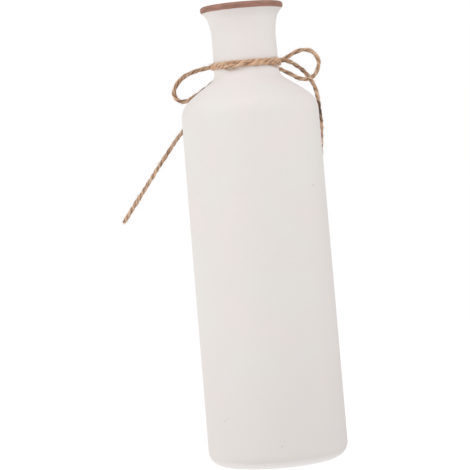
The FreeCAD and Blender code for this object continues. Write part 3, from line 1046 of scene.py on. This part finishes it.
def clay_material():
    """Bare chalky clay in faint warm and cool clouds, with a few specks, and oxide round the mouth."""
    material = bpy.data.materials.new("chalky_clay")
    material.use_nodes = True
    tree = material.node_tree
    shader = tree.nodes["Principled BSDF"]
    place = tree.nodes.new("ShaderNodeTexCoord").outputs["Object"]
    cloud = mapped(tree, noise(tree, place, CLOUD_SCALE, 1.5), *WARM_TO_COOL)
    clay = mixed(tree, cloud, CLAY_WARM, CLAY_COOL)
    dust = noise(tree, place, DUST_SCALE, 3.0)
    dust = mapped(tree, dust, *DARK_TO_PALE_DUST, DUST_DARK, DUST_PALE)
    clay = mixed(tree, 1.0, clay, dust, "MULTIPLY")
    separate = tree.nodes.new("ShaderNodeSeparateXYZ")
    feed(tree, separate, {0: place})
    up = separate.outputs["Z"]
    for begins, full, share in PINK_SHARES.values():
        clay = mixed(tree, mapped(tree, up, begins, full, 0.0, share), clay, CLAY_PINK)
    # Painted light: the foot's lowest edge is mixed towards a paler colour for light bounced up from the
    # floor
    clay = mixed(tree, mapped(tree, up, PAINTED_BOUNCE_LIGHT_HEIGHT, 0.0), clay, CLAY_PAINTED_BOUNCE_LIGHT)
    for centre, radius in SPECKS:
        centre = tuple(part * MM for part in centre)
        radius *= MM
        away = add(tree, "ShaderNodeVectorMath", {0: place, 1: centre}, operation="DISTANCE")
        spot = mapped(tree, away, radius, SPECK_CORE_SHARE * radius, 0.0, SPECK_DARKNESS)
        clay = mixed(tree, spot, clay, CLAY_SPECK)

    # The oxide is brushed on, so its lower edge wanders a little and it is thin and dark in turns
    edge = sum_of(tree, "MULTIPLY_ADD", noise(tree, place, EDGE_WANDER_SCALE), EDGE_WANDER, up)
    oxide = mapped(tree, edge, HEIGHT - LIP_HEIGHT, HEIGHT - LIP_HEIGHT + EDGE_SOFTNESS)
    inside = tree.nodes.new("ShaderNodeAttribute")
    inside.attribute_name = "inside"
    on_land = mapped(tree, inside.outputs["Fac"], *INNER_EDGE, 1.0, 0.0)
    oxide = sum_of(tree, "MULTIPLY", oxide, on_land)
    brushed = vector_sum(tree, "MULTIPLY", place, BRUSH_MARKS)
    brown = mapped(tree, noise(tree, brushed, 1.0, 3.0), *BROWN_TO_DARK)
    brown = mixed(tree, brown, LIP_BROWN, LIP_DARK)
    colour = mixed(tree, oxide, clay, brown)
    tooth = noise(tree, place, TOOTH_SCALE, 4.0)
    bump = {"Height": tooth, "Strength": TOOTH_STRENGTH, "Distance": TOOTH_HEIGHT}
    bump = add(tree, "ShaderNodeBump", bump)
    feed(
        tree,
        shader,
        {"Base Color": colour, "Roughness": 0.8, "Specular IOR Level": 0.3, "Normal": bump},
    )
    return material


outline_curve = bpy.data.curves.new("vase_outline", "CURVE")
outline_curve.dimensions = "3D"
outline = outline_curve.splines.new("POLY")
outline.points.add(len(VASE_OUTSIDE + VASE_INSIDE) - 1)
for spot, (across, up, radius) in zip(outline.points, VASE_OUTSIDE + VASE_INSIDE):
    spot.co = (across * MM - AXLE, -up * MM, 0, 1)
    spot.radius = radius * MM
vase_outline = bpy.data.objects.new("vase_outline", outline_curve)
scene.collection.objects.link(vase_outline)
vase = make_piece(
    vase_outline,
    "turned_vase",
    turned_tree(),
    {
        "Outside Corners": float(len(VASE_OUTSIDE)),
        "Axle": AXLE,
        "Sides": VASE_SIDES,
        "Round Steps": ROUND_STEPS,
        "Run Step": RUN_STEP,
        "Waver": HAND_WAVER,
        "Material": clay_material(),
    },
)
bpy.data.objects.remove(vase_outline)
vase.data.shade_smooth()
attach(vase, "vase")
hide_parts("vase_body")

# The setting: a pale sheet under the vase, white to the eye, as is everything behind it. The sheet is lit
# from beneath as on a light table, so the foot isn't dark. A broad soft lamp at the left and a smaller
# one in front, a little right and above, light the vase.
FLOOR_SIZE = 6.0
FLOOR_DIFFUSE = 0.2
FLOOR_LIGHT = 0.75
FLOOR_GLOW = 0.9
SKY_LEVEL = 0.53


def seen_by_eye(tree):
    """One where the camera, a reflection or a clear thing looks, and zero where light is gathered."""
    rays = tree.nodes.new("ShaderNodeLightPath").outputs
    either = sum_of(tree, "MAXIMUM", rays["Is Camera Ray"], rays["Is Glossy Ray"])
    return sum_of(tree, "MAXIMUM", either, rays["Is Transmission Ray"])


def floor_material():
    """Pale paper, lit from beneath, that shows white and takes the vase's faint shadow."""
    material = bpy.data.materials.new("floor_paper")
    material.use_nodes = True
    tree = material.node_tree
    tree.nodes.remove(tree.nodes["Principled BSDF"])
    grey = (FLOOR_DIFFUSE, FLOOR_DIFFUSE, FLOOR_DIFFUSE, 1)
    paper = add(tree, "ShaderNodeBsdfDiffuse", {"Color": grey})
    level = mapped(tree, seen_by_eye(tree), 0.0, 1.0, FLOOR_LIGHT, FLOOR_GLOW)
    glow = add(tree, "ShaderNodeEmission", {"Strength": level})
    both = add(tree, "ShaderNodeAddShader", {0: paper, 1: glow})
    feed(tree, tree.nodes["Material Output"], {"Surface": both})
    return material


bpy.ops.mesh.primitive_plane_add(size=FLOOR_SIZE)
floor = bpy.context.object
floor.name = "floor"
floor.data.materials.append(floor_material())

world = bpy.data.worlds.new("world")
scene.world = world
world.use_nodes = True
sky = world.node_tree
level = mapped(sky, seen_by_eye(sky), 0.0, 1.0, SKY_LEVEL)
feed(sky, sky.nodes["Background"], {"Color": (1, 1, 1, 1), "Strength": level})

# Each lamp's place and width in metres, and its power in watts
LAMPS = {
    "side_lamp": ((-0.9, -0.2, 0.5), 0.8, 3.66),
    "front_lamp": ((0.35, -0.5, 0.75), 0.5, 2.75),
}
for name, (place, width, power) in LAMPS.items():
    lamp_data = bpy.data.lights.new(name, "AREA")
    lamp_data.size = width
    lamp_data.energy = power
    lamp = bpy.data.objects.new(name, lamp_data)
    scene.collection.objects.link(lamp)
    aim = Vector((0, 0, HEIGHT / 2)) - Vector(place)
    lamp.matrix_world = Matrix.Translation(place) @ aim.to_track_quat("-Z", "Y").to_matrix().to_4x4()

scene.view_settings.view_transform = "Standard"

bpy.context.view_layer.update()
